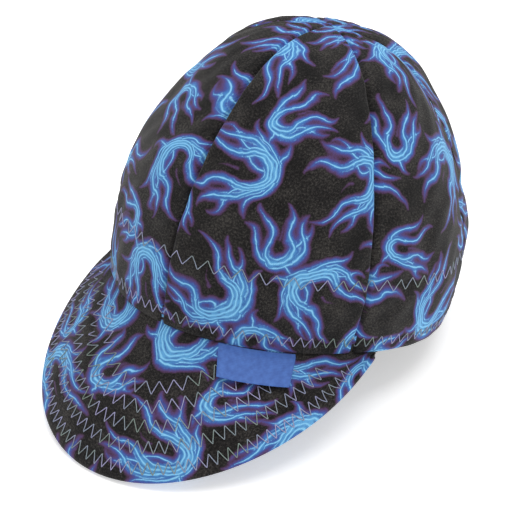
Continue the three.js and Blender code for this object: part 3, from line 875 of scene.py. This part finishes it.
LABEL_WIDTH, LABEL_LENGTH, LABEL_TURN, LABEL_THICK, LABEL_LIFT, LABEL_GAP = 37, 17, 32, 1, 1.6, 0.75
LABEL_TUCK, LABEL_EASE = 2.0, 4.5  # how far it goes up under the rim, and where its thickness is whole
LABEL_TAPER, LABEL_SWING = 0.085, 2.8  # how much its free edge narrows, and how far that swings aside
LABEL_SLANT, LABEL_SHORT = 0.0051, 0.025  # how its free edge slants along the rim, and falls short
LABEL_ROLL, EDGE_CELLS = 0.42, 1.5  # how far its edges roll down, and over how many rows
LABEL_WAVE, LABEL_CURL = 0.35, 0.5  # how far its face waves, and one corner lifts
LABEL_SQUEEZED = 0.22  # the share of its thickness that is left in the seam
label_columns, label_rows = 74, 36
label_middle, label_step = LABEL_TURN / ROOT_TURN, 0.1


def at_label(across, run):
    return peak_point(np.asarray(across, float), np.asarray(run, float), 0.0)


label_root = at_label(label_middle, label_step)
along_rim = at_label(label_middle + label_step, label_step) - label_root
down_peak = at_label(label_middle, 2 * label_step) - label_root
skew = along_rim @ down_peak / (along_rim @ along_rim)
squareness = float(np.linalg.norm(np.cross(along_rim, down_peak))
                   / np.linalg.norm(along_rim) / np.linalg.norm(down_peak))
label_start = CLOTH + stack / 2 + LABEL_GAP


def peak_length(across):
    return np.linalg.norm(peak_edge(across) - peak_root(across), axis=-1)


def under_rim(along, below):
    """The place on the peak at a length along the rim from the label's middle, and a length below."""
    middle = np.full_like(along, label_middle)
    run = below / (peak_length(middle) * squareness)
    step = np.linalg.norm(at_label(middle + label_step, run) - at_label(middle, run), axis=-1)
    across = label_middle + label_step * along / step
    run = below / (peak_length(across) * squareness)
    return across - skew * run, run


def label_below(j):
    """How far down the peak a row of the label lies, from the rim."""
    return -LABEL_TUCK + (LABEL_LENGTH + LABEL_TUCK) * j / label_rows


def label_free(i, j):
    """The share of the label's thickness that is left, where the rim's seam squeezes it."""
    free = np.clip((label_below(j) + LABEL_TUCK) / LABEL_EASE, 0, 1)
    return LABEL_SQUEEZED + (1 - LABEL_SQUEEZED) * free**2 * (3 - 2 * free)


def label_face(i, j):
    along = LABEL_WIDTH * (0.5 - i / label_columns)
    below = label_below(j)
    down = np.maximum(below / LABEL_LENGTH, 0)
    hang = along * (1 - LABEL_TAPER * down) - LABEL_SWING * down
    slant = 1 + np.sign(below) * (LABEL_SLANT * along - LABEL_SHORT)
    across, run = under_rim(hang, label_start + below * slant)
    rim = np.minimum(np.minimum(i, label_columns - i) / EDGE_CELLS, (label_rows - j) / EDGE_CELLS)
    rounding = LABEL_ROLL * (1 - np.sqrt(np.clip(1 - (1 - np.clip(rim, 0, 1)) ** 2, 0, 1)))
    bow = LABEL_WAVE * np.sin(along * 0.16 + 0.8) * down + LABEL_CURL * bell(along + 17, 5) * down**2
    held = label_free(i, j)
    rise = stack / 2 + 0.05 + (SEAM_GAP + LABEL_THICK) * held + LABEL_LIFT * down**2 + bow - rounding * held
    return stand(peak_point(across, run, rise))


def label_flat(i, j):
    return np.stack([LABEL_WIDTH * (i / label_columns - 0.5), -LABEL_LENGTH * j / label_rows], -1)


# Woven polyester satin: close ribs across and fine yarns along give it a soft sheen and a faint grain.
# The real ribs are some 0.3 mm apart, too fine to show, so they are drawn coarser.
SATIN_RIB, SATIN_YARN = 0.8, 0.6
satin, tree = new_finish("woven_polyester_satin")
flat_cloth = add(tree, "UVMap", uv_map="cloth")
ends = add(tree, "SeparateXYZ", {0: flat_cloth}).node.outputs
rib, yarn = threads(tree, ends[1], SATIN_RIB), threads(tree, ends[0], SATIN_YARN)
weave = add(tree, "Math", {0: rib, 1: yarn}, operation="ADD")
tone = add(tree, "TexNoise", {"Vector": flat_cloth, "Scale": 0.35, "Detail": 3.0})
tone = add(tree, "Math", {0: weave, 1: 0.05, 2: tone}, operation="MULTIPLY_ADD")
blue = ramp(tree, tone, (0.3, "#345ca9"), (0.7, "#4672c0"))
bump = add(tree, "Bump", {"Height": weave, "Strength": 0.3, "Distance": 0.0001})
shader = add(tree, "BsdfPrincipled", {
    "Base Color": blue, "Roughness": 0.6, "Sheen Weight": 0.15, "Anisotropic": 0.3, "Normal": bump})
add(tree, "OutputMaterial", {"Surface": shader})

label = cloth_piece(
    "label_tab", label_face, label_flat, label_columns, label_rows, LABEL_THICK * 0.8, [satin], label_free)
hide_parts("label")

# The floor. A wide, plain sheet of near-white card carries the cap, with its far edge out of sight. It
# lets a little light through from below, which keeps the cap's shadow pale.

FLOOR_GLOW = 0.48
bpy.ops.object.select_all(action="DESELECT")
bpy.ops.mesh.primitive_plane_add(size=8, location=(0, 0, 0))
floor = bpy.context.object
floor.name = "floor"
card, tree = new_finish("matt_white_card")
where = add(tree, "TexCoord").node.outputs["Object"]
fibre = add(tree, "TexNoise", {"Vector": where, "Scale": 40.0, "Detail": 3.0})
white = ramp(tree, fibre, (0.3, "#fafafa"), (0.7, "#fdfdfd"))
shader = add(tree, "BsdfPrincipled", {
    "Base Color": white, "Roughness": 0.9, "Specular IOR Level": 0.1,
    "Emission Color": linear("#ffffff"), "Emission Strength": FLOOR_GLOW})
add(tree, "OutputMaterial", {"Surface": shader})
floor.data.materials.append(card)

# The light. A broad softbox hangs over the cap, a little behind it, with a large, weak fill in front
# and an even white surround, as in a small photographer's tent.

SURROUND_STRENGTH = 0.46


def soft_light(name, place, size, power):
    lamp = bpy.data.lights.new(name, "AREA")
    lamp.size, lamp.energy = size, power
    holder = bpy.data.objects.new(name, lamp)
    bpy.context.collection.objects.link(holder)
    holder.location = place
    aim = -holder.location.normalized()
    holder.rotation_euler = aim.to_track_quat("-Z", "Y").to_euler()


soft_light("key", place=(0.05, 0.3, 1.85), size=1.7, power=28)
soft_light("fill", place=(0.5, -1.3, 1.0), size=1.2, power=1)
world = bpy.data.worlds.new("surround")
bpy.context.scene.world = world
world.use_nodes = True
surround = world.node_tree.nodes["Background"].inputs
surround["Color"].default_value, surround["Strength"].default_value = (1, 1, 1, 1), SURROUND_STRENGTH
bpy.context.scene.view_settings.view_transform = "Standard"

# The camera. It looks down on the cap from the wearer's front left, as in the photograph, through a
# long lens, and its frame is shifted to give the cap the same place in it.

AZIMUTH, ELEVATION, DISTANCE = math.radians(38.402), math.radians(33.617), 1.0
lens = bpy.data.cameras.new("camera")
lens.lens, lens.sensor_width, lens.sensor_fit = 134.77, 36, "HORIZONTAL"
lens.shift_x, lens.shift_y = -0.0492, 0.0586
lens.clip_start, lens.clip_end = 0.05, 30
camera = bpy.data.objects.new("camera", lens)
bpy.context.collection.objects.link(camera)
aim = RIM_MIDDLE / 1000
camera.location = (
    aim[0] + DISTANCE * math.sin(AZIMUTH) * math.cos(ELEVATION),
    aim[1] - DISTANCE * math.cos(AZIMUTH) * math.cos(ELEVATION),
    aim[2] + DISTANCE * math.sin(ELEVATION),
)
camera.rotation_euler = (math.pi / 2 - ELEVATION, 0, AZIMUTH)
bpy.context.scene.camera = camera
